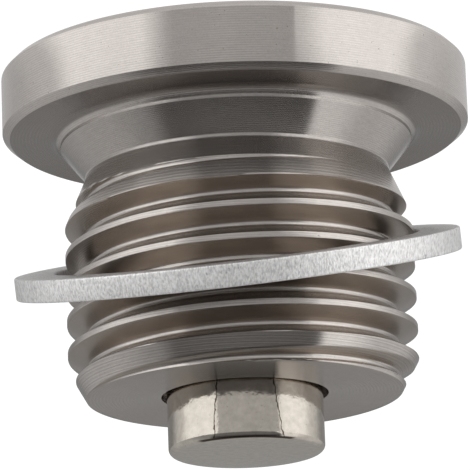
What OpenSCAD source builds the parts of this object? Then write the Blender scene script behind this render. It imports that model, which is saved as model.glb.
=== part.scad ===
// Magnetic oil drain plug. A turned plug with a round collar head, a relief neck and a metric
// fine thread holds a round magnet in its tip, and a flat crush washer hangs askew on the thread.
// The plug stands on its head, with the thread's axis along +Z and the tip upwards.

/* [Head] */
// Diameter of the round collar head
head_d = 21.3; // [20:0.1:26]
// Thickness of the collar head
head_h = 3.15; // [2.5:0.05:5]
// Radial width of the bevel round the head's outer face
face_bevel_w = 0.32; // [0.1:0.02:0.8]
// Height of the bevel round the head's outer face
face_bevel_h = 0.32; // [0.1:0.02:0.8]
// Radial width of the bevel round the sealing face
seal_bevel_w = 0.35; // [0.1:0.05:0.6]
// Height of the bevel round the sealing face
seal_bevel_h = 0.28; // [0.1:0.02:0.8]

/* [Drive socket] */
// Width across the flats of the hexagon socket
socket_af = 8; // [6:0.5:9]
// Depth of the hexagon socket
socket_depth = 5; // [3:0.5:6]
// Depth of the drill point below the socket's floor
socket_point_h = 1.4; // [0.5:0.1:2]
// Width of the bevel round the socket's mouth, past its corners
socket_bevel = 0.3; // [0.1:0.05:0.6]

/* [Thread] */
// Outside diameter of the thread
thread_d = 15.85; // [14:0.05:17]
// Distance from one thread to the next
thread_pitch = 1.5; // [1:0.25:2]
// Width of the thread's crests
crest_w = 0.26; // [0.15:0.01:0.3]
// Depth of the thread's groove, as a part of the pitch
groove_part = 0.6; // [0.5:0.01:0.62]
// Length of the shank, from the sealing face to the tip face
shank_l = 12.2; // [11:0.1:18]
// Angle, seen from the tip, at which the thread's groove leaves the tip face
thread_start = -52; // [-180:1:180]
// Axial length of the lead-in cone at the tip
lead_l = 1.42; // [0.8:0.02:2]
// Radial drop of the lead-in cone at the tip
lead_drop = 0.79; // [0.4:0.01:1]

/* [Neck] */
// Radial width of the concave shoulder between the sealing face and the neck
shoulder_w = 0.61; // [0.4:0.01:0.9]
// Height of the concave shoulder
shoulder_h = 0.51; // [0.3:0.01:0.7]
// Slope of the shoulder at its inner edge, up from the sealing face
shoulder_slope = 60; // [50:1:80]
// Height of the neck's tapered side, from the shoulder to the narrowest place
neck_h = 1.32; // [1:0.02:2]
// Radial drop of the neck's tapered side
neck_drop = 1.09; // [0.8:0.01:1.4]
// Height of the straight floor at the neck's narrowest place
neck_floor = 0.18; // [0.1:0.01:0.6]
// Radial depth of the neck's floor below the bottom of the thread
neck_below = 0.1; // [0.02:0.01:0.3]
// Height of the cone that rises from the neck's floor to the full thread
run_out_h = 2.3; // [1.5:0.05:3]
// Height of the groove's floor over the bottom of the thread where it starts on that cone
groove_shallow = 0.31; // [0.1:0.01:0.5]
// Height, over the neck's floor, at which the thread's groove has its full depth
groove_full = 1.37; // [1.1:0.01:1.8]
// Part of a turn in which the groove deepens
groove_fade = 0.12; // [0.05:0.01:0.35]

/* [Magnet] */
// Diameter of the magnet
magnet_d = 7.05; // [5:0.05:9]
// Length of the magnet
magnet_l = 7; // [5:0.1:8]
// Height by which the magnet stands out of the tip face
magnet_proud = 2.64; // [1:0.02:4]
// Radius of the magnet's rounded edges
magnet_round = 0.3; // [0.1:0.05:1.2]
// Gap round the magnet at the bore's mouth
mouth_gap = 0.24; // [0.1:0.02:0.6]
// Depth of the widened mouth of the bore
mouth_depth = 0.9; // [0.4:0.1:2]

/* [Crush washer] */
// Difference between the washer's hole and the thread's diameter
washer_slack = 0.73; // [0.6:0.01:1.4]
// Radial width of the washer's ring, from its hole to its outside
washer_rim = 1.88; // [1:0.01:3]
// Thickness of the washer
washer_t = 1.03; // [0.8:0.01:1.5]
// Width of the broken edges of the washer
washer_edge = 0.08; // [0.02:0.01:0.2]
// Angle by which the washer leans away from square to the thread
washer_lean = 17.7; // [8:0.1:19]
// Compass direction, seen from the tip, of the washer's side nearest the tip
washer_low_side = -74.4; // [-180:0.2:180]
// Height of the washer's highest inner edge over the neck's floor
washer_hook = 1.03; // [0.6:0.01:1.3]
// Clearance between the washer and the thread's crests on its low side
washer_play = 0.02; // [0.01:0.01:0.1]
// Sideways offset of the washer on the thread, square to its lean
washer_aside = 0.04; // [0:0.01:0.07]

/* [Hidden] */
$fn = 96;
// Overshoot of each cut past the face that it opens
past = 0.5;
// Straight pieces in one turn of the thread's groove
turn_parts = 48;

head_r = head_d / 2;
thread_r = thread_d / 2;
magnet_r = magnet_d / 2;
socket_corner_r = socket_af / 2 / cos(30);

// Thread section: flat crests, flanks at 30 degrees to square, narrow floor
groove_mouth = thread_pitch - crest_w;
groove_depth = thread_pitch * groove_part;
root_r = thread_r - groove_depth;
groove_floor = groove_mouth - 2 * groove_depth * tan(30);

// Heights along the axis, from the head's outer face
tip_z = head_h + shank_l;
shoulder_z = head_h + shoulder_h;
floor_z = shoulder_z + neck_h;
run_out_z = floor_z + neck_floor;
full_thread_z = run_out_z + run_out_h;
bore_z = tip_z + magnet_proud - magnet_l;

// Radii along the neck, worked out from its floor
neck_r = root_r - neck_below;
shoulder_r = neck_r + neck_drop;
seat_r = shoulder_r + shoulder_w;

// Curve of the shoulder, level with the sealing face at its start (0) and steep at its end (1)
shoulder_bend = [shoulder_r + shoulder_h / tan(shoulder_slope), head_h];
function shoulder_curve(t) =
    pow(1 - t, 2) * [seat_r, head_h] + 2 * t * (1 - t) * shoulder_bend + t * t * [shoulder_r, shoulder_z];

// Half of the plug's section, from the axis outwards
plug_outline = [
    [0, 0],
    [head_r - face_bevel_w, 0],
    [head_r, face_bevel_h],
    [head_r, head_h - seal_bevel_h],
    [head_r - seal_bevel_w, head_h],
    for (i = [0:6]) shoulder_curve(i / 6),
    [neck_r, floor_z],
    [neck_r, run_out_z],
    [thread_r, full_thread_z],
    [thread_r, tip_z - lead_l],
    [thread_r - lead_drop, tip_z],
    [0, tip_z],
];

// Section of the cutter for the groove, as [distance from the axis, height from its middle]. It ends
// just outside the crests, where its neighbouring turns don't meet yet.
cutter_r = thread_r + thread_pitch / 15;
cutter_mouth = groove_floor + 2 * (cutter_r - root_r) * tan(30);
cutter_section = [
    [root_r, -groove_floor / 2],
    [cutter_r, -cutter_mouth / 2],
    [cutter_r, cutter_mouth / 2],
    [root_r, groove_floor / 2],
];

// The cutter starts where its lifted floor is still clear of the run-out cone, sinks to its full depth
// and climbs until it is clear of the tip face
lifted_z = run_out_z + (neck_below + groove_shallow) * run_out_h / (thread_r - neck_r);
cut_from_z = lifted_z - groove_floor / 2 - thread_pitch / 7;
full_depth_z = run_out_z + groove_full;
cut_to_z = tip_z + thread_pitch / 2;
cut_steps = ceil((cut_to_z - cut_from_z) / thread_pitch * turn_parts);

// Angle of the groove's middle where it is at a height z
function groove_angle(z) = thread_start + 360 * (z - tip_z) / thread_pitch;

// Height of the groove's floor over the bottom of the thread where its middle is at a height z
function groove_lift(z) =
    groove_shallow * min(1, max(0, (full_depth_z - z) / (groove_fade * thread_pitch)));

function cutter_points() = [
    for (i = [0:cut_steps])
        let (z = cut_from_z + i * thread_pitch / turn_parts,
             a = groove_angle(z),
             lift = groove_lift(z))
            for (c = cutter_section) [(c[0] + lift) * cos(a), (c[0] + lift) * sin(a), z + c[1]],
];

function cutter_faces() = [
    [0, 2, 1],
    [0, 3, 2],
    for (i = [0:cut_steps - 1])
        for (k = [0:3])
            let (a = 4 * i + k, b = 4 * i + (k + 1) % 4)
                each [[a, b + 4, a + 4], [a, b, b + 4]],
    [4 * cut_steps, 4 * cut_steps + 1, 4 * cut_steps + 2],
    [4 * cut_steps, 4 * cut_steps + 2, 4 * cut_steps + 3],
];

module thread_groove() {
    polyhedron(cutter_points(), cutter_faces());
}

module hexagon_socket() {
    mouth_r = socket_corner_r + socket_bevel;
    translate([0, 0, -past])
        cylinder(r = socket_corner_r, h = socket_depth + past, $fn = 6);
    translate([0, 0, socket_depth])
        cylinder(r1 = socket_af / 2, r2 = 0, h = socket_point_h);
    translate([0, 0, -past])
        cylinder(r1 = mouth_r + past, r2 = socket_af / 2, h = past + mouth_r - socket_af / 2);
}

module magnet_bore() {
    translate([0, 0, bore_z])
        cylinder(r = magnet_r, h = tip_z - bore_z + past);
    translate([0, 0, tip_z - mouth_depth])
        cylinder(r = magnet_r + mouth_gap, h = mouth_depth + past);
}

module plug_body() {
    color([0.66, 0.64, 0.62])
        difference() {
            rotate_extrude()
                polygon(plug_outline);
            hexagon_socket();
            magnet_bore();
            thread_groove();
        }
}

module magnet() {
    color([0.62, 0.58, 0.53])
        translate([0, 0, bore_z]) {
            translate([0, 0, magnet_round])
                cylinder(r = magnet_r, h = magnet_l - 2 * magnet_round);
            cylinder(r = magnet_r - magnet_round, h = magnet_l);
            for (z = [magnet_round, magnet_l - magnet_round])
                translate([0, 0, z])
                    rotate_extrude()
                        translate([magnet_r - magnet_round, 0])
                            circle(r = magnet_round);
        }
}

// The washer leans until its hole meets the thread. The inner edge of its side nearest the head hooks
// over the neck, and the inner edge of its opposite side lies just clear of the crests.
washer_hole_r = (thread_d + washer_slack) / 2;
washer_r = washer_hole_r + washer_rim;
washer_half = washer_t / 2;
washer_rise = washer_hole_r * sin(washer_lean) + washer_half * cos(washer_lean);
washer_reach = washer_hole_r * cos(washer_lean) - washer_half * sin(washer_lean);
washer_mid_z = run_out_z + washer_hook + washer_rise;
washer_shift = thread_r + washer_play - washer_reach;

module crush_washer() {
    color([0.82, 0.82, 0.83])
        rotate([0, 0, washer_low_side])
            translate([washer_shift, washer_aside, washer_mid_z])
                rotate([0, -washer_lean, 0])
                    rotate_extrude()
                        polygon([
                            [washer_hole_r, washer_edge - washer_half],
                            [washer_hole_r + washer_edge, -washer_half],
                            [washer_r - washer_edge, -washer_half],
                            [washer_r, washer_edge - washer_half],
                            [washer_r, washer_half - washer_edge],
                            [washer_r - washer_edge, washer_half],
                            [washer_hole_r + washer_edge, washer_half],
                            [washer_hole_r, washer_half - washer_edge],
                        ]);
}

plug_body();
magnet();
crush_washer();
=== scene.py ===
"""Finishes and fine forms of a magnetic oil drain plug: a turned steel body with its cut thread, a
nickel plated magnet and an aluminium crush washer, on a pale table in a room of soft light."""

import math
from math import radians

import bmesh
import bpy
import numpy as np
from mathutils import Matrix, Vector


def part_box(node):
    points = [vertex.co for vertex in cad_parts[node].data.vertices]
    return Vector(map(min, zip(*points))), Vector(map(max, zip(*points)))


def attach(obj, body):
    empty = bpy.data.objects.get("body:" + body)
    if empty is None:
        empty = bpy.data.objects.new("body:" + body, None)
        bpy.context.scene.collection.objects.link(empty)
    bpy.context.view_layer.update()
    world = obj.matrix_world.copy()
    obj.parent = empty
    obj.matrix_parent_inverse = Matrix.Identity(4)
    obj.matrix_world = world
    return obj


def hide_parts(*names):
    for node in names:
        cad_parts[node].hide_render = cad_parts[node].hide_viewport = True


bl_info = {
    "name": "Magnetic Drain Plug",
    "version": (1, 0, 0),
    "blender": (4, 5, 0),
    "location": "3D View > Sidebar > Drain Plug",
    "description": "Turned drain plug with a cut thread, a plated magnet and a crush washer",
    "category": "Add Mesh",
}

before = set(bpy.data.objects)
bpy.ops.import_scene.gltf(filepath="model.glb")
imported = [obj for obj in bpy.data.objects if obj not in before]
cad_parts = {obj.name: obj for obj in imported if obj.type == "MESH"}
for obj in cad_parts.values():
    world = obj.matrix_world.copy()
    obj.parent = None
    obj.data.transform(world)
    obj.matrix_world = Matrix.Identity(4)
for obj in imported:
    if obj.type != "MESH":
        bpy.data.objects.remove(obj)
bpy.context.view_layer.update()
body_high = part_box("plug_body")[1]
magnet_low, magnet_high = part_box("magnet")

TURN = 2 * math.pi
COLUMNS = 216

# Points closer than WELD are joined, edges shorter than COLLAPSE go, and HAIR is less than any size

WELD, COLLAPSE, HAIR = 2e-7, 1e-7, 1e-9

# Fixed sizes of the body, in metres. The groove's depth and fade are parts of a pitch.

FLANK_SLOPE = 1 / math.tan(radians(30))
GROOVE_DEPTH = 0.6
CREST_W = 0.00026
ROOT_BLEND, CREST_BLEND = 0.00008, 0.00002
GROOVE_SHALLOW, GROOVE_FULL, GROOVE_FADE = 0.00031, 0.00137, 0.12
SHOULDER_W, SHOULDER_H, SHOULDER_SLOPE = 0.00061, 0.00051, radians(60)
WALL_H, WALL_LEAN = 0.00014, 0.000014
NECK_H, NECK_DROP, NECK_FLOOR, NECK_BELOW = 0.00132, 0.00109, 0.00018, 0.0001
NECK_ROUND, RUN_OUT_ROUND = 0.00008, 0.00012
RUN_OUT_H, CREST_ROUND = 0.0023, 0.0004
LEAD_H, LEAD_W, LEAD_ROUND = 0.00142, 0.00079, 0.00015
TIP_RING_W = 0.00125
BORE_GAP, BORE_MOUTH_H, BORE_ROUND, BORE_RING_W = 0.00024, 0.0009, 0.00004, 0.0006
SOCKET_FLAT_R, SOCKET_DEPTH, SOCKET_POINT_H, SOCKET_BEVEL = 0.004, 0.005, 0.0014, 0.0003
HEAD_FACE_RINGS = (0.0051, 0.0075)

# Heights and distances from the axis, in metres, over which a mask on the steel or the nickel rises

# The threaded, seat and neck masks bound painted shade on the steel; the lead mask bounds real turned
# lines
THREADED = (0.005, 0.0054)
SEAT_FROM, SEAT_UP_TO, SEAT_WITHIN = (0.0031, 0.00314), (0.0037, 0.0036), (0.01035, 0.0103)
NECK_FROM, NECK_UP_TO = (0.0034, 0.0038), (0.0058, 0.005)
LEAD_FROM = (0.01385, 0.014)
# These bound the nickel's painted reflections: two dark lines down its side and a dark line round its
# end
REFLECTED_LINES_UP_TO, REFLECTED_LINES_BEFORE = (0.01797, 0.01792), (-0.002, -0.0025)
END_LINE_FROM, END_LINE_BEFORE = (0.0177, 0.0178), (-0.0026, -0.0028)

# Colours of the darker places on each metal: painted shade on the steel's flat faces, flanks and seat,
# painted reflections on the nickel, and real pits and spots

FLAT_PAINTED_SHADE = (0.46, 0.42, 0.39, 1)
FLANK_PAINTED_SHADE = (0.4, 0.352, 0.31, 1)
SEAT_PAINTED_SHADE = (0.295, 0.268, 0.247, 1)
PIT_STEEL = (0.25, 0.22, 0.2, 1)
PIT_NICKEL = (0.3, 0.26, 0.2, 1)
PAINTED_REFLECTION_NICKEL = (0.1, 0.08, 0.065, 1)
SPOT_ALUMINIUM = (0.45, 0.45, 0.46, 1)


# Sizes and colours that a user would change


class PlugSizes(bpy.types.PropertyGroup):
    """Sizes of the turned body, past what the frame's boxes give."""

    face_bevel_w: bpy.props.FloatProperty(
        name="Face Bevel Width", description="Radial width of the bevel round the head's outer face",
        default=0.00032, precision=5, unit="LENGTH")
    face_bevel_h: bpy.props.FloatProperty(
        name="Face Bevel Height", description="Height of the bevel round the head's outer face",
        default=0.00032, precision=5, unit="LENGTH")
    head_h: bpy.props.FloatProperty(
        name="Head Thickness", description="Height of the sealing face over the head's outer face",
        default=0.00315, precision=5, unit="LENGTH")
    seal_bevel_w: bpy.props.FloatProperty(
        name="Seal Bevel Width", description="Radial width of the bevel round the sealing face",
        default=0.00035, precision=5, unit="LENGTH")
    seal_bevel_h: bpy.props.FloatProperty(
        name="Seal Bevel Height", description="Height of the bevel round the sealing face",
        default=0.00028, precision=5, unit="LENGTH")
    thread_r: bpy.props.FloatProperty(
        name="Thread Radius", description="Radius over the thread's crests",
        default=0.007925, precision=6, unit="LENGTH")
    pitch: bpy.props.FloatProperty(
        name="Thread Pitch", description="Distance from one thread to the next",
        default=0.0015, precision=5, unit="LENGTH")
    thread_start: bpy.props.FloatProperty(
        name="Thread Start", description="Angle at which the groove leaves the tip face",
        default=radians(-52), subtype="ANGLE")
    edge: bpy.props.FloatProperty(
        name="Edge Rounding", description="Rounding of the turned edges",
        default=0.00005, precision=6, unit="LENGTH")


class MagnetSizes(bpy.types.PropertyGroup):
    """Size of the magnet's edges, past what the frame's box gives."""

    edge: bpy.props.FloatProperty(
        name="Edge Rounding", description="Rounding of the magnet's edges",
        default=0.0003, precision=5, unit="LENGTH")


class WasherSizes(bpy.types.PropertyGroup):
    """Sizes and lean of the crush washer."""

    outer_r: bpy.props.FloatProperty(
        name="Outer Radius", description="Radius of the washer's outer edge",
        default=0.01017, precision=5, unit="LENGTH")
    hole_r: bpy.props.FloatProperty(
        name="Hole Radius", description="Radius of the washer's hole",
        default=0.00829, precision=5, unit="LENGTH")
    thickness: bpy.props.FloatProperty(
        name="Thickness", description="Thickness of the washer",
        default=0.00103, precision=5, unit="LENGTH")
    edge: bpy.props.FloatProperty(
        name="Edge Rounding", description="Rounding of the washer's edges",
        default=0.00009, precision=6, unit="LENGTH")
    lean: bpy.props.FloatProperty(
        name="Lean", description="Angle by which the washer leans away from square",
        default=radians(17.7), subtype="ANGLE")
    low_side: bpy.props.FloatProperty(
        name="Low Side", description="Direction of the washer's side nearest the tip",
        default=radians(-74.4), subtype="ANGLE")


class PlugColours(bpy.types.PropertyGroup):
    """Colours of the three metals and of the table."""

    steel: bpy.props.FloatVectorProperty(
        name="Steel", description="Colour of the turned steel", subtype="COLOR",
        size=3, min=0, max=1, default=(0.63, 0.586, 0.552))
    nickel: bpy.props.FloatVectorProperty(
        name="Nickel", description="Colour of the magnet's plating", subtype="COLOR",
        size=3, min=0, max=1, default=(0.66, 0.61, 0.54))
    aluminium: bpy.props.FloatVectorProperty(
        name="Aluminium", description="Colour of the washer", subtype="COLOR",
        size=3, min=0, max=1, default=(0.935, 0.925, 0.92))
    table: bpy.props.FloatVectorProperty(
        name="Table", description="Colour of the table", subtype="COLOR",
        size=3, min=0, max=1, default=(0.86, 0.86, 0.86))


# Mesh helpers


def rounded(corners, steps=4):
    """An outline with each corner (distance, height, rounding) replaced by an arc of that radius."""
    points = []
    last = len(corners) - 1
    for i, (r, z, radius) in enumerate(corners):
        here = Vector((r, z))
        if i in (0, last) or radius <= 0:
            points.append(here)
            continue
        back = (Vector(corners[i - 1][:2]) - here).normalized()
        ahead = (Vector(corners[i + 1][:2]) - here).normalized()
        half = back.angle(ahead) / 2
        reach = radius / math.tan(half)
        centre = here + (back + ahead).normalized() * (radius / math.sin(half))
        start = here + back * reach - centre
        end = here + ahead * reach - centre
        sweep = start.angle_signed(end)
        for k in range(steps + 1):
            points.append(centre + Matrix.Rotation(-sweep * k / steps, 2) @ start)
    return np.array([tuple(p) for p in points])


def around(r, z, columns=COLUMNS):
    """Rows of points round the axis, as (rows, columns + 1, 3), from radii and heights."""
    a = np.linspace(0, TURN, columns + 1)
    return np.stack(np.broadcast_arrays(r * np.cos(a), r * np.sin(a), z), -1)


def ring_rows(outline, columns=COLUMNS):
    """Rows of points, one ring for each point of an outline."""
    return around(outline[:, :1], outline[:, 1:], columns)


def skin(name, rows, sharp=radians(38)):
    """One closed mesh over a grid of points, with its seam and poles welded."""
    count, wide = rows.shape[:2]
    index = np.arange(count * wide).reshape(count, wide)
    quads = np.stack([index[:-1, :-1], index[:-1, 1:], index[1:, 1:], index[1:, :-1]], -1)
    mesh = bpy.data.meshes.new(name)
    mesh.from_pydata(rows.reshape(-1, 3).tolist(), [], quads.reshape(-1, 4).tolist())
    bm = bmesh.new()
    bm.from_mesh(mesh)
    bmesh.ops.remove_doubles(bm, verts=bm.verts, dist=WELD)
    bmesh.ops.dissolve_degenerate(bm, edges=bm.edges, dist=COLLAPSE)
    bmesh.ops.recalc_face_normals(bm, faces=bm.faces)
    for face in bm.faces:
        face.smooth = True
    bm.to_mesh(mesh)
    bm.free()
    mesh.set_sharp_from_angle(angle=sharp)
    piece = bpy.data.objects.new(name, mesh)
    bpy.context.scene.collection.objects.link(piece)
    return piece


def soft_min(a, b, width):
    """The smaller of two values, blended where they are closer than width."""
    h = np.maximum(width - np.abs(a - b), 0)
    return np.minimum(a, b) - h * h / (4 * width)


# The turned body


def groove_radius(z, angle, sizes, tip_z):
    """Radius of the thread's groove at a height and angle. It starts shallow on the run-out cone."""
    depth = GROOVE_DEPTH * sizes.pitch
    floor = sizes.pitch - CREST_W - 2 * depth / FLANK_SLOPE
    middle = tip_z + sizes.pitch * (angle - sizes.thread_start) / TURN
    past_middle = (z - middle + sizes.pitch / 2) % sizes.pitch - sizes.pitch / 2
    rise = (np.abs(past_middle) - floor / 2) * FLANK_SLOPE
    round_floor = -soft_min(-rise, np.zeros_like(rise), ROOT_BLEND)
    full_z = sizes.head_h + SHOULDER_H + NECK_H + NECK_FLOOR + GROOVE_FULL
    raised = np.clip((full_z - (z - past_middle)) / (GROOVE_FADE * sizes.pitch), 0, 1)
    lift = GROOVE_SHALLOW * raised * raised * (3 - 2 * raised)
    return sizes.thread_r - depth + round_floor + lift


def socket_rows():
    """Rows of the hexagon socket, from the middle of its drill point out to its mouth."""
    flat_r, depth, point_h = SOCKET_FLAT_R, SOCKET_DEPTH, SOCKET_POINT_H
    floor_edge, wall_edge, mouth_edge = 0.00005, 0.00003, 0.00004
    point_ring = 0.0015
    sixth = TURN / 6
    a = np.linspace(0, TURN, COLUMNS + 1)
    wall_r = flat_r / np.cos(a % sixth - sixth / 2)
    mouth_r = flat_r / math.cos(sixth / 2) + SOCKET_BEVEL
    centre = np.zeros_like(a)
    rings = np.array([
        (centre, centre + depth + point_h),
        (centre + point_ring, centre + depth + point_h * (1 - point_ring / flat_r)),
        (centre + flat_r * 0.98, centre + depth + point_h * 0.02),
        (centre + flat_r * 0.995, centre + depth),
        (wall_r - floor_edge, centre + depth),
        (wall_r, centre + depth - floor_edge),
        (wall_r, centre + depth * 0.5),
        (wall_r, mouth_r - wall_r + wall_edge),
        (wall_r + wall_edge, mouth_r - wall_r - wall_edge),
        (centre + mouth_r - mouth_edge, centre + mouth_edge),
        (centre + mouth_r + mouth_edge, centre),
    ])
    return around(rings[:, 0], rings[:, 1])


def body_corners(sizes):
    """Corners of the body's section in three runs: from the head's face to the neck, along the shank,
    and from the tip's face to the middle of the bore's floor. A low, nearly upright wall ends the
    concave shoulder."""
    head_r, tip_z, magnet_r, edge = body_high.x, body_high.z, magnet_high.x, sizes.edge
    neck_r = sizes.thread_r - GROOVE_DEPTH * sizes.pitch - NECK_BELOW
    shoulder_r = neck_r + NECK_DROP
    shoulder_z = sizes.head_h + SHOULDER_H
    seat_r = shoulder_r + SHOULDER_W
    bend_r = shoulder_r + SHOULDER_H / math.tan(SHOULDER_SLOPE)
    neck_z = shoulder_z + NECK_H
    neck_middle = (neck_r, neck_z + NECK_FLOOR / 2, 0)
    tip_ring = (sizes.thread_r - TIP_RING_W, tip_z, 0)
    mouth_r = magnet_r + BORE_GAP
    shoulder = []
    for t in np.linspace(0, 1, 9):
        r = (1 - t) ** 2 * seat_r + 2 * t * (1 - t) * bend_r + t * t * shoulder_r
        z = sizes.head_h + t * t * (SHOULDER_H - WALL_H)
        shoulder.append((r + t * WALL_LEAN, z, edge / 2 if t == 1 else 0))
    shoulder.append((shoulder_r + WALL_LEAN / 2, shoulder_z - WALL_H / 2, 0))
    shoulder.append((shoulder_r, shoulder_z, edge / 2))
    below = [
        *((r, 0, 0) for r in HEAD_FACE_RINGS),
        (head_r - sizes.face_bevel_w, 0, edge),
        (head_r, sizes.face_bevel_h, edge),
        (head_r, sizes.head_h - sizes.seal_bevel_h, edge * 0.6),
        (head_r - sizes.seal_bevel_w, sizes.head_h, edge),
        *shoulder,
        (neck_r, neck_z, NECK_ROUND),
        neck_middle,
    ]
    shank = [
        neck_middle,
        (neck_r, neck_z + NECK_FLOOR, RUN_OUT_ROUND),
        (sizes.thread_r, neck_z + NECK_FLOOR + RUN_OUT_H, CREST_ROUND),
        (sizes.thread_r, tip_z - LEAD_H, LEAD_ROUND),
        (sizes.thread_r - LEAD_W, tip_z, edge),
        tip_ring,
    ]
    inside = [
        tip_ring,
        (mouth_r + BORE_RING_W, tip_z, 0),
        (mouth_r, tip_z, BORE_ROUND),
        (mouth_r, tip_z - BORE_MOUTH_H, 0),
        (magnet_r, tip_z - BORE_MOUTH_H, 0),
        (magnet_r, magnet_low.z, 0),
        (0, magnet_low.z, 0),
    ]
    return below, shank, inside


def shank_rows(outline, sizes, tip_z):
    """Rows of the threaded shank. They climb with the thread, so that its edges lie along them."""
    a = np.linspace(0, TURN, COLUMNS + 1)
    low = outline[0, 1]
    high = tip_z - sizes.edge * 1.5
    # The rows of half a turn, in parts of a pitch from the middle of the groove's floor
    mouth = (1 - CREST_W / sizes.pitch) / 2
    half = np.array([0, 0.035, 0.055, 0.07, 0.09, 0.115, 0.145, 0.18, 0.215, 0.25, 0.285, 0.32, 0.35,
                     0.38, mouth - 0.012, mouth, mouth + 0.012, 0.455])
    one_turn = np.concatenate([half, [0.5], 1 - half[:0:-1]])
    middle = (tip_z - sizes.pitch * sizes.thread_start / TURN) % sizes.pitch
    first = math.floor((low - sizes.pitch - middle) / sizes.pitch)
    turns = math.ceil((high - low) / sizes.pitch) + 2
    along = np.concatenate([(first + k + one_turn) * sizes.pitch + middle for k in range(turns)])
    z = np.clip(along[:, None] + sizes.pitch * a / TURN, low, high)
    z = z[(z.min(1) < high - HAIR) & (z.max(1) > low + HAIR)]
    level = np.linspace(high, tip_z, 5)[1:]
    z = np.vstack([z, np.repeat(level[:, None], len(a), 1)])
    turned = np.interp(z, outline[:, 1], outline[:, 0])
    return around(soft_min(turned, groove_radius(z, a, sizes, tip_z), CREST_BLEND), z)


def build_body(sizes):
    """The turned body as one closed mesh."""
    below, shank, inside = body_corners(sizes)
    rows = np.concatenate([
        socket_rows(),
        ring_rows(rounded(below)),
        shank_rows(rounded(shank, 6)[:-1], sizes, body_high.z),
        ring_rows(rounded(inside)),
    ])
    return skin("plug_body_turned", rows)


# Node helpers


def new_node(tree, kind, **settings):
    """A new node with its settings."""
    made = tree.nodes.new(kind)
    for key, value in settings.items():
        setattr(made, key, value)
    return made


def feed(tree, target, value):
    """Links a socket to an input, or writes a plain value there."""
    if isinstance(value, bpy.types.NodeSocket):
        tree.links.new(value, target)
    else:
        target.default_value = value


def calc(tree, operation, *values):
    """A Math node's result."""
    made = new_node(tree, "ShaderNodeMath", operation=operation)
    for target, value in zip(made.inputs, values):
        feed(tree, target, value)
    return made.outputs[0]


def add_up(tree, *values):
    """The sum of some values."""
    total = values[0]
    for value in values[1:]:
        total = calc(tree, "ADD", total, value)
    return total


def times(tree, *values):
    """The product of some values."""
    total = values[0]
    for value in values[1:]:
        total = calc(tree, "MULTIPLY", total, value)
    return total


def split(tree, vector):
    """A vector's three parts."""
    made = new_node(tree, "ShaderNodeSeparateXYZ")
    feed(tree, made.inputs[0], vector)
    return tuple(made.outputs)


def object_place(tree):
    """The place on the piece, in metres."""
    return new_node(tree, "ShaderNodeTexCoord").outputs["Object"]


def length(tree, x, y):
    """The length of a flat vector, such as the distance from the axis."""
    return calc(tree, "SQRT", add_up(tree, times(tree, x, x), times(tree, y, y)))


def ramp(tree, value, start, end, low=0.0, high=1.0, smooth=True):
    """A value carried from one range to another, held at both ends."""
    made = new_node(tree, "ShaderNodeMapRange", interpolation_type="SMOOTHSTEP" if smooth else "LINEAR")
    for target, given in zip(made.inputs, (value, start, end, low, high)):
        feed(tree, target, given)
    return made.outputs[0]


def choose(tree, factor, first, second):
    """The first value where the factor is 0, and the second where it is 1."""
    made = new_node(tree, "ShaderNodeMix", data_type="FLOAT")
    feed(tree, made.inputs[0], factor)
    feed(tree, made.inputs[2], first)
    feed(tree, made.inputs[3], second)
    return made.outputs[0]


def blend_colours(tree, factor, first, second):
    """The first colour where the factor is 0, and the second where it is 1."""
    made = new_node(tree, "ShaderNodeMix", data_type="RGBA")
    feed(tree, made.inputs[0], factor)
    feed(tree, made.inputs[6], first)
    feed(tree, made.inputs[7], second)
    return made.outputs[2]


def shaded(tree, colour, factor):
    """A colour made lighter or darker by a factor."""
    made = new_node(tree, "ShaderNodeVectorMath", operation="SCALE")
    feed(tree, made.inputs[0], colour)
    feed(tree, made.inputs["Scale"], factor)
    return made.outputs[0]


def mix_shaders(tree, factor, first, second):
    """The first shader where the factor is 0, and the second where it is 1."""
    made = new_node(tree, "ShaderNodeMixShader")
    for target, value in zip(made.inputs, (factor, first, second)):
        feed(tree, target, value)
    return made.outputs[0]


def add_bump(tree, height, distance, under=None):
    """A normal bent by a height, over the bump under it."""
    made = new_node(tree, "ShaderNodeBump")
    made.inputs["Strength"].default_value = 1.0
    made.inputs["Distance"].default_value = distance
    feed(tree, made.inputs["Height"], height)
    if under is not None:
        feed(tree, made.inputs["Normal"], under)
    return made.outputs[0]


# Effects that the metals share


def new_group(name, inputs, outputs):
    """An empty shader node group with its named sockets."""
    tree = bpy.data.node_groups.new(name, "ShaderNodeTree")
    for label, kind, value in inputs:
        socket = tree.interface.new_socket(name=label, in_out="INPUT", socket_type=kind)
        if value is not None:
            socket.default_value = value
    for label in outputs:
        tree.interface.new_socket(name=label, in_out="OUTPUT", socket_type="NodeSocketFloat")
    return tree, new_node(tree, "NodeGroupInput"), new_node(tree, "NodeGroupOutput")


def place_group(tree, group, **values):
    """A group's node with its inputs set, by names whose spaces are written as underscores."""
    made = new_node(tree, "ShaderNodeGroup")
    made.node_tree = group
    for key, value in values.items():
        feed(tree, made.inputs[key.replace("_", " ")], value)
    return made


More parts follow.
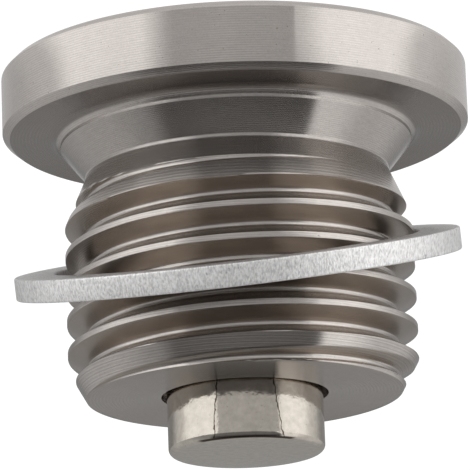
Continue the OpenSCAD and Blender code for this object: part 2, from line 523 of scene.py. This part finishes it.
def turned_marks_group():
    """Fine rings left by a turning tool, broken up along their length: an uneven height, even lines that
    waver with it, and the level over the head's outer face."""
    tree, given, result = new_group(
        "turned_marks",
        [("Spacing", "NodeSocketFloat", 0.0001), ("Streak Length", "NodeSocketFloat", 0.002)],
        ["Height", "Lines", "Level"])
    waver, slant = 3.0, 0.7
    x, y, z = split(tree, object_place(tree))
    distance = length(tree, x, y)
    fine = calc(tree, "DIVIDE", 0.5, given.outputs["Spacing"])
    slow = calc(tree, "DIVIDE", 0.5, given.outputs["Streak Length"])
    spot = new_node(tree, "ShaderNodeCombineXYZ")
    feed(tree, spot.inputs[0], times(tree, distance, fine))
    feed(tree, spot.inputs[1], times(tree, z, fine))
    feed(tree, spot.inputs[2], times(tree, x, slow))
    noise = new_node(tree, "ShaderNodeTexNoise", noise_dimensions="4D")
    feed(tree, noise.inputs["Vector"], spot.outputs[0])
    feed(tree, noise.inputs["W"], times(tree, y, slow))
    noise.inputs["Scale"].default_value = 1.0
    noise.inputs["Detail"].default_value = 1.5
    noise.inputs["Roughness"].default_value = 0.6
    feed(tree, result.inputs["Height"], noise.outputs[0])
    phase = calc(tree, "SUBTRACT", z, times(tree, distance, slant))
    phase = calc(tree, "DIVIDE", times(tree, phase, TURN), given.outputs["Spacing"])
    phase = add_up(tree, phase, times(tree, noise.outputs[0], waver))
    feed(tree, result.inputs["Lines"], calc(tree, "SINE", phase))
    feed(tree, result.inputs["Level"], z)
    return tree


def specks_group():
    """Grains scattered over a surface, and a mask of the pits among them that takes a share of cover."""
    tree, given, result = new_group(
        "specks",
        [("Size", "NodeSocketFloat", 0.0002), ("Cover", "NodeSocketFloat", 0.1),
         ("Stretch", "NodeSocketVector", None)],
        ["Mask", "Grain"])
    pits_above, pits_by_cover, pit_edge = 0.72, 0.4, 0.05
    scaled = new_node(tree, "ShaderNodeVectorMath", operation="MULTIPLY")
    feed(tree, scaled.inputs[0], object_place(tree))
    feed(tree, scaled.inputs[1], given.outputs["Stretch"])
    noise = new_node(tree, "ShaderNodeTexNoise")
    feed(tree, noise.inputs["Vector"], scaled.outputs[0])
    feed(tree, noise.inputs["Scale"], calc(tree, "DIVIDE", 0.5, given.outputs["Size"]))
    noise.inputs["Detail"].default_value = 2.0
    noise.inputs["Roughness"].default_value = 0.55
    edge = calc(tree, "SUBTRACT", pits_above, times(tree, given.outputs["Cover"], pits_by_cover))
    mask = ramp(tree, noise.outputs[0], edge, add_up(tree, edge, pit_edge))
    feed(tree, result.inputs["Mask"], mask)
    feed(tree, result.inputs["Grain"], noise.outputs[0])
    return tree


def cut_zones_group():
    """Masks of the body's flat faces, of its thread's flanks, and of its seat with the shoulder, where
    the steel gets painted shade.
    """
    tree, _, result = new_group("cut_zones", [], ["Flats", "Flanks", "Seat"])
    geometry = new_node(tree, "ShaderNodeNewGeometry")
    up = split(tree, geometry.outputs["Normal"])[2]
    x, y, z = split(tree, geometry.outputs["Position"])
    steep = calc(tree, "ABSOLUTE", up)
    flats = ramp(tree, steep, 0.9, 0.97)
    flanks = times(tree, ramp(tree, steep, 0.55, 0.8), ramp(tree, z, *THREADED),
                   calc(tree, "SUBTRACT", 1.0, flats))
    seat = times(tree, ramp(tree, up, 0.7, 0.8), ramp(tree, z, *SEAT_UP_TO),
                 ramp(tree, z, *SEAT_FROM), ramp(tree, length(tree, x, y), *SEAT_WITHIN))
    feed(tree, result.inputs["Flats"], flats)
    feed(tree, result.inputs["Flanks"], flanks)
    feed(tree, result.inputs["Seat"], seat)
    return tree


def marks(tree, groups, spacing, streak):
    """A turned_marks node with its two sizes."""
    return place_group(tree, groups["marks"], Spacing=spacing, Streak_Length=streak).outputs


def specks(tree, groups, size, cover=0.0, stretch=(1, 1, 1)):
    """A specks node with its size, cover and stretch."""
    return place_group(tree, groups["specks"], Size=size, Cover=cover, Stretch=stretch).outputs


# The three metals


def new_metal(name, roughness):
    """A material with a metal Principled shader, its tree and that shader."""
    made = bpy.data.materials.new(name)
    made.use_nodes = True
    tree = made.node_tree
    shader = tree.nodes["Principled BSDF"]
    shader.inputs["Metallic"].default_value = 1.0
    shader.inputs["Roughness"].default_value = roughness
    return made, tree, shader


def turned_steel(colour, groups):
    """Stainless steel with tool rings, fine streaks and pits, and gloss drawn out round the axis. It has
    painted shade on the flat faces, the thread's flanks, the seat and the neck, for dark reflections and
    the shade between the plug's own parts, and has broad lines on the lead-in cone."""
    made, tree, shader = new_metal("turned_steel", 0.2)
    streaks = marks(tree, groups, 0.00005, 0.0002)
    rings = marks(tree, groups, 0.000108, 0.0012)
    wide_rings = marks(tree, groups, 0.000165, 0.004)
    broad = marks(tree, groups, 0.0004, 0.006)
    patches = specks(tree, groups, 0.0016, stretch=(1, 1, 0.2))
    fine = specks(tree, groups, 0.000035)
    pits = specks(tree, groups, 0.00006, cover=0.02)
    zones = place_group(tree, groups["zones"]).outputs
    flats = zones["Flats"]
    metal = (*colour, 1)
    # Painted shade on the flat faces, the thread's flanks and the seat, for dark reflections and the
    # shade between the plug's parts
    for zone, painted_shade in (("Flats", FLAT_PAINTED_SHADE), ("Flanks", FLANK_PAINTED_SHADE), ("Seat", SEAT_PAINTED_SHADE)):
        metal = blend_colours(tree, zones[zone], metal, painted_shade)
    tone = add_up(tree, ramp(tree, streaks["Height"], 0.3, 0.7, 0.96, 1.04, smooth=False),
                  ramp(tree, fine["Grain"], 0.3, 0.7, -0.045, 0.045, smooth=False),
                  ramp(tree, patches["Grain"], 0.35, 0.65, -0.03, 0.03, smooth=False))
    lines = times(tree, rings["Lines"], ramp(tree, patches["Grain"], 0.4, 0.6, 0.02, 0.075))
    level = streaks["Level"]
    # Painted shade on the neck, the hollow between the head and the thread
    neck = times(tree, ramp(tree, level, *NECK_FROM, 0, -0.15), ramp(tree, level, *NECK_UP_TO))
    lead = times(tree, ramp(tree, level, *LEAD_FROM, 0, 0.085), calc(tree, "SUBTRACT", 1.0, flats),
                 wide_rings["Lines"])
    metal = shaded(tree, metal, add_up(tree, tone, lines, neck, lead))
    feed(tree, shader.inputs["Base Color"], blend_colours(tree, pits["Mask"], metal, PIT_STEEL))
    rough = ramp(tree, broad["Height"], 0.3, 0.7, 0.19, 0.2, smooth=False)
    feed(tree, shader.inputs["Roughness"], add_up(tree, rough, times(tree, flats, 0.06)))
    coarse = add_bump(tree, rings["Lines"], 0.0000006)
    feed(tree, shader.inputs["Normal"], add_bump(tree, streaks["Height"], 0.0000012, coarse))
    shader.inputs["Anisotropic"].default_value = 0.95
    shader.inputs["Anisotropic Rotation"].default_value = 0.25
    tangent = new_node(tree, "ShaderNodeTangent", direction_type="RADIAL", axis="Z")
    feed(tree, shader.inputs["Tangent"], tangent.outputs[0])
    return made


def nickel_plate(colour, groups):
    """Warm plating with slight waves, dents and the odd pit, and two fine dark lines down its side and a
    dark line round its end, which are painted reflections."""
    made, tree, shader = new_metal("nickel_plate", 0.1)
    waves = specks(tree, groups, 0.0007)["Grain"]
    dents = specks(tree, groups, 0.00015)["Grain"]
    pits = specks(tree, groups, 0.00005, cover=0.05)
    end_line_r, reflected_line_z, wander_w = 0.00339, 0.0165, 0.00028
    reflected_lines = ((0.00133, -0.08), (-0.00143, 0.16))
    plate = shaded(tree, colour, ramp(tree, dents, 0.3, 0.7, 0.9, 1.08, smooth=False))
    plate = blend_colours(tree, pits["Mask"], plate, PIT_NICKEL)
    x, y, z = split(tree, object_place(tree))
    # Painted reflection: a dark line round the end's rounded edge
    off = calc(tree, "ABSOLUTE", calc(tree, "SUBTRACT", length(tree, x, y), end_line_r))
    dark = times(tree, ramp(tree, off, 0.00007, 0.00004), ramp(tree, z, *END_LINE_FROM),
                 ramp(tree, y, *END_LINE_BEFORE))
    wander = times(tree, calc(tree, "SUBTRACT", dents, 0.5), wander_w)
    # Painted reflections: two slanted, wandering dark lines down the side
    side = times(tree, ramp(tree, y, *REFLECTED_LINES_BEFORE), ramp(tree, z, *REFLECTED_LINES_UP_TO))
    for start, slant in reflected_lines:
        along = times(tree, calc(tree, "SUBTRACT", z, reflected_line_z), slant)
        off = calc(tree, "ABSOLUTE", add_up(tree, x, wander, along, -start))
        dark = calc(tree, "MAXIMUM", dark, times(tree, ramp(tree, off, 0.000035, 0.000015), side))
    feed(tree, shader.inputs["Base Color"], blend_colours(tree, dark, plate, PAINTED_REFLECTION_NICKEL))
    bent = add_bump(tree, waves, 0.00002)
    bent = add_bump(tree, dents, 0.000005, bent)
    feed(tree, shader.inputs["Normal"], add_bump(tree, pits["Grain"], 0.000001, bent))
    return made


def blanked_aluminium(colour, groups):
    """Matt pale aluminium with a fine grain, small dark spots and upright streaks from its shearing."""
    made, tree, shader = new_metal("blanked_aluminium", 0.42)
    shader.inputs["Metallic"].default_value = 0.8
    grain = specks(tree, groups, 0.00004, cover=0.1, stretch=(1, 1, 0.4))["Grain"]
    spots = specks(tree, groups, 0.00007, cover=0.06, stretch=(1, 1, 0.4))["Mask"]
    sheared = specks(tree, groups, 0.00007, stretch=(1, 1, 0.08))["Grain"]
    tone = add_up(tree, ramp(tree, grain, 0.3, 0.7, 0.68, 1.16, smooth=False),
                  ramp(tree, sheared, 0.35, 0.65, -0.07, 0.07, smooth=False))
    metal = blend_colours(tree, spots, shaded(tree, colour, tone), SPOT_ALUMINIUM)
    feed(tree, shader.inputs["Base Color"], metal)
    feed(tree, shader.inputs["Normal"], add_bump(tree, grain, 0.00003))
    return made


# The room, as the metal sees it. Angles are written in degrees, and light as a share of plain white.


def table_light(tree, place):
    """Light from the pale table at a place on it. It is darker before the plug, in a wedge that widens:
    a painted shadow of the plug. It is darker behind it too, and even under the head."""
    wedge_point, near_reach, far_reach = 0.0055, 0.018, 0.07
    x, y = split(tree, place)[:2]
    ahead = times(tree, add_up(tree, y, wedge_point), -1.0)
    bearing = calc(tree, "ARCTAN2", calc(tree, "ABSOLUTE", x), ahead)
    far = ramp(tree, length(tree, x, ahead), near_reach, far_reach)

    def angle(near_plug, far_off):
        return choose(tree, far, radians(near_plug), radians(far_off))

    def change(start, end, near_plug, far_off):
        by = near_plug if near_plug == far_off else choose(tree, far, near_plug, far_off)
        return ramp(tree, bearing, start, end, 0, by)

    side, back, past = angle(76, 91), angle(92, 115), angle(112, 145)
    behind = change(side, back, -0.5, -0.5), change(back, past, -0.13, -0.4)
    # The edges of the wedge before the plug, the plug's painted shadow
    right_edge = angle(29.7, 51)
    right_full = add_up(tree, right_edge, radians(1))
    right_wide = add_up(tree, right_edge, radians(17))
    on_left = add_up(tree, 0.5, change(angle(27, 42.5), angle(46, 45), 0.64, 0.64), *behind)
    on_right = add_up(tree, 0.475, change(right_edge, right_full, 0.3, 0.6),
                      change(right_full, right_wide, 0.45, 0.1), *behind)
    level = choose(tree, ramp(tree, x, -0.001, 0.001), on_right, on_left)
    return choose(tree, ramp(tree, length(tree, x, y), 0.0109, 0.0107), level, 0.68)


def room_light(tree, place, bearing, height, left):
    """Light from above the table: a soft box to each side, and darker in front and overhead."""
    x, y, z = place
    over = calc(tree, "ARCTAN2", z, times(tree, y, -1.0))
    middle = 0.42
    for start, end, step in ((1, 10, -0.26), (42, 68, -0.09), (93, 104, 0.34), (150, 172, -0.08)):
        middle = add_up(tree, middle, ramp(tree, over, radians(start), radians(end), 0, step))
    past_edge = add_up(tree, times(tree, calc(tree, "ABSOLUTE", x), -0.564), times(tree, y, -0.696),
                       times(tree, z, 0.44), choose(tree, left, -0.13, -0.15))
    soft = choose(tree, left, 0.05, 0.13)
    beside = times(tree, ramp(tree, past_edge, soft, times(tree, soft, -1.0)),
                   ramp(tree, bearing, radians(125), radians(160), 1, 0))
    on_left = ramp(tree, bearing, radians(65), radians(105), 0.3, 0.48)
    on_right = ramp(tree, bearing, radians(78), radians(108), 1.0, 0.62)
    boxes = times(tree, choose(tree, left, on_right, on_left),
                  ramp(tree, height, radians(34), radians(68), 1, 0.7))
    return choose(tree, beside, middle, boxes)


def build_world(scene):
    """The room, as the metal sees it in each direction. To the camera it is plain white."""
    world = bpy.data.worlds.new("studio")
    scene.world = world
    world.use_nodes = True
    tree = world.node_tree
    x, y, z = split(tree, new_node(tree, "ShaderNodeTexCoord").outputs["Generated"])
    bearing = calc(tree, "ARCTAN2", calc(tree, "ABSOLUTE", x), times(tree, y, -1.0))
    left = ramp(tree, x, -0.02, 0.02)
    level = room_light(tree, (x, y, z), bearing, calc(tree, "ARCSINE", z), left)
    seen = new_node(tree, "ShaderNodeLightPath").outputs["Is Camera Ray"]
    room = new_node(tree, "ShaderNodeCombineXYZ")
    for target in room.inputs:
        feed(tree, target, level)
    light = blend_colours(tree, seen, room.outputs[0], (1, 1, 1, 1))
    feed(tree, tree.nodes["Background"].inputs["Color"], light)


def build_table(colour):
    """A pale table that takes the plug's shadow, and glows as the metal sees it."""
    table_side, below, glow_share, glow_power = 6.0, 0.00001, 0.82, 1.2
    bpy.ops.mesh.primitive_plane_add(size=table_side, location=(0, 0, -below))
    table = bpy.context.object
    table.name = "table"
    made = bpy.data.materials.new("pale_table")
    made.use_nodes = True
    tree = made.node_tree
    tree.nodes.remove(tree.nodes["Principled BSDF"])
    path = new_node(tree, "ShaderNodeLightPath").outputs
    matt = new_node(tree, "ShaderNodeBsdfDiffuse")
    matt.inputs["Color"].default_value = (*colour, 1)
    matt = matt.outputs[0]
    white = new_node(tree, "ShaderNodeEmission")
    white.inputs["Strength"].default_value = glow_power
    glow = new_node(tree, "ShaderNodeEmission")
    place = new_node(tree, "ShaderNodeNewGeometry").outputs["Position"]
    feed(tree, glow.inputs["Strength"], table_light(tree, place))
    pale = mix_shaders(tree, glow_share, matt, white.outputs[0])
    surface = mix_shaders(tree, path["Is Camera Ray"], matt, pale)
    surface = mix_shaders(tree, path["Is Glossy Ray"], surface, glow.outputs[0])
    feed(tree, tree.nodes["Material Output"].inputs["Surface"], surface)
    table.data.materials.append(made)


def add_fill(name, place, power):
    """A soft light that brightens matt surfaces and doesn't show in the metal."""
    data = bpy.data.lights.new(name, "AREA")
    data.shape = "DISK"
    data.size = 0.35
    data.energy = power
    lamp = bpy.data.objects.new(name, data)
    lamp.location = place
    aim = Vector((0, 0, 0.01))
    lamp.rotation_euler = (aim - lamp.location).to_track_quat("-Z", "Y").to_euler()
    lamp.visible_glossy = False
    bpy.context.scene.collection.objects.link(lamp)


def build_camera(scene):
    """The photograph's camera: long lens, a little over the table, and upside down."""
    height, roll = radians(14.697), radians(2.08)
    distance, across, down = 0.19278, 0.0000248, -0.0045398
    focal_px, picture_px, sensor = 4212.5, 470, 36.0
    look = Vector((0, math.cos(height), -math.sin(height)))
    right = Vector((-1, 0, 0))
    lower = look.cross(right)
    picture_right = math.cos(roll) * right + math.sin(roll) * lower
    picture_down = -math.sin(roll) * right + math.cos(roll) * lower
    axis_point = Vector((0, 0, 0.00315))
    place = axis_point - (across * picture_right + down * picture_down + distance * look)
    lens = bpy.data.cameras.new("camera")
    lens.sensor_width = sensor
    lens.lens = sensor * focal_px / picture_px
    lens.clip_start, lens.clip_end = 0.01, 20.0
    camera = bpy.data.objects.new("camera", lens)
    scene.collection.objects.link(camera)
    turn = Matrix((picture_right, -picture_down, -look)).transposed()
    camera.matrix_world = Matrix.Translation(place) @ turn.to_4x4()
    scene.camera = camera


# Operators


class PLUG_OT_stage(bpy.types.Operator):
    """Make the camera, the room, the table and the lights"""

    bl_idname = "plug.stage"
    bl_label = "Stage"

    def execute(self, context):
        scene = context.scene
        scene.view_settings.view_transform = "Standard"
        build_camera(scene)
        build_world(scene)
        build_table(scene.plug_colours.table)
        add_fill("left_fill", (0.35, -0.5, 0.25), 3.2)
        add_fill("right_fill", (-0.4, -0.45, 0.25), 2.5)
        return {"FINISHED"}


class PLUG_OT_finishes(bpy.types.Operator):
    """Make the three metals"""

    bl_idname = "plug.finishes"
    bl_label = "Finishes"

    def execute(self, context):
        colours = context.scene.plug_colours
        groups = {"marks": turned_marks_group(), "specks": specks_group(), "zones": cut_zones_group()}
        turned_steel(colours.steel, groups)
        nickel_plate(colours.nickel, groups)
        blanked_aluminium(colours.aluminium, groups)
        return {"FINISHED"}


class PLUG_OT_body(bpy.types.Operator):
    """Make the turned body with its thread and socket"""

    bl_idname = "plug.body"
    bl_label = "Turned Body"

    def execute(self, context):
        piece = build_body(context.scene.plug_sizes)
        piece.data.materials.append(bpy.data.materials["turned_steel"])
        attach(piece, "root")
        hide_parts("plug_body")
        return {"FINISHED"}


class PLUG_OT_magnet(bpy.types.Operator):
    """Make the plated magnet"""

    bl_idname = "plug.magnet"
    bl_label = "Magnet"

    def execute(self, context):
        edge = context.scene.plug_magnet.edge
        r, low, high, end_ring = magnet_high.x, magnet_low.z, magnet_high.z, 0.002
        corners = [(0, low, 0), (r, low, edge), (r, high, edge), (end_ring, high, 0), (0, high, 0)]
        piece = skin("magnet_plated", ring_rows(rounded(corners, 8), 144))
        piece.data.materials.append(bpy.data.materials["nickel_plate"])
        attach(piece, "root")
        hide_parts("magnet")
        return {"FINISHED"}


class PLUG_OT_washer(bpy.types.Operator):
    """Make the crush washer where it hangs on the thread"""

    bl_idname = "plug.washer"
    bl_label = "Crush Washer"

    def execute(self, context):
        sizes = context.scene.plug_washer
        hole_r, outer_r, half, edge = sizes.hole_r, sizes.outer_r, sizes.thickness / 2, sizes.edge
        corners = [
            (hole_r, 0, 0), (hole_r, half, edge), (outer_r, half, edge),
            (outer_r, -half, edge), (hole_r, -half, edge), (hole_r, 0, 0),
        ]
        piece = skin("crush_washer_blanked", ring_rows(rounded(corners, 5), 240))
        mesh = piece.data
        mesh.transform(Matrix.Rotation(sizes.low_side, 4, "Z") @ Matrix.Rotation(-sizes.lean, 4, "Y"))
        low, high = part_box("crush_washer")
        points = np.array([v.co for v in mesh.vertices])
        middle = (Vector(points.min(0)) + Vector(points.max(0))) / 2
        mesh.transform(Matrix.Translation((low + high) / 2 - middle))
        piece.data.materials.append(bpy.data.materials["blanked_aluminium"])
        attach(piece, "root")
        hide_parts("crush_washer")
        return {"FINISHED"}


class VIEW3D_PT_drain_plug(bpy.types.Panel):
    """Lists the drain plug's operators"""

    bl_label = "Drain Plug"
    bl_space_type = "VIEW_3D"
    bl_region_type = "UI"
    bl_category = "Drain Plug"

    def draw(self, context):
        for maker in OPERATORS:
            self.layout.operator(maker.bl_idname)


OPERATORS = (PLUG_OT_stage, PLUG_OT_finishes, PLUG_OT_body, PLUG_OT_magnet, PLUG_OT_washer)
SETTINGS = {
    "plug_sizes": PlugSizes,
    "plug_magnet": MagnetSizes,
    "plug_washer": WasherSizes,
    "plug_colours": PlugColours,
}
CLASSES = (*SETTINGS.values(), *OPERATORS, VIEW3D_PT_drain_plug)


def register():
    for cls in CLASSES:
        bpy.utils.register_class(cls)
    for name, cls in SETTINGS.items():
        setattr(bpy.types.Scene, name, bpy.props.PointerProperty(type=cls))


def unregister():
    for name in SETTINGS:
        delattr(bpy.types.Scene, name)
    for cls in reversed(CLASSES):
        bpy.utils.unregister_class(cls)


def main():
    register()
    bpy.ops.plug.stage()
    bpy.ops.plug.finishes()
    bpy.ops.plug.body()
    bpy.ops.plug.magnet()
    bpy.ops.plug.washer()


if __name__ == "__main__":
    main()
